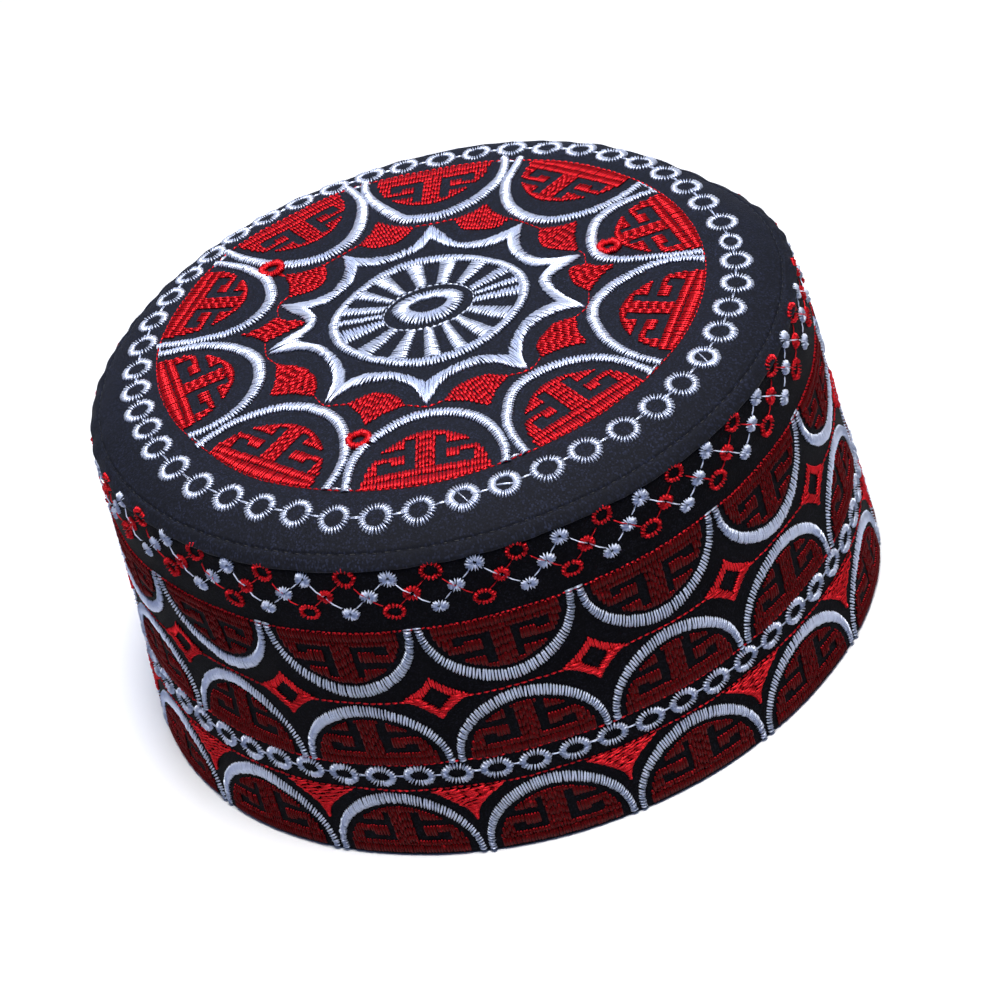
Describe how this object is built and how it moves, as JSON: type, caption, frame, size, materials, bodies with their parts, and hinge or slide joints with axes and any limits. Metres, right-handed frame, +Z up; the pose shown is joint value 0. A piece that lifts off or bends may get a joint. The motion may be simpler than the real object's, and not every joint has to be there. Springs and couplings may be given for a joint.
{
  "type": "kufi cap",
  "caption": "Round, flat-topped kufi cap with a stiff flared side band and a slightly domed crown panel lapped over its top edge.",
  "frame": {"origin": "centre of the rim, on the surface that the cap stands on", "axes": "+Z up along the cap's axis, -Y towards the front of the cap in the picture, +X to the right seen from the front"},
  "size_m": [0.1902, 0.1897, 0.0914],
  "materials": {
    "band_cloth": "matte black cotton twill, densely embroidered",
    "crown_cloth": "matte charcoal cotton twill, embroidered",
    "white_thread": "glossy rayon satin stitch",
    "red_thread": "glossy rayon fill stitch",
    "black_thread": "cotton topstitching thread"
  },
  "bodies": {
    "root": {"side_band": "band_cloth", "crown_panel": "crown_cloth"}
  },
  "joints": []
}
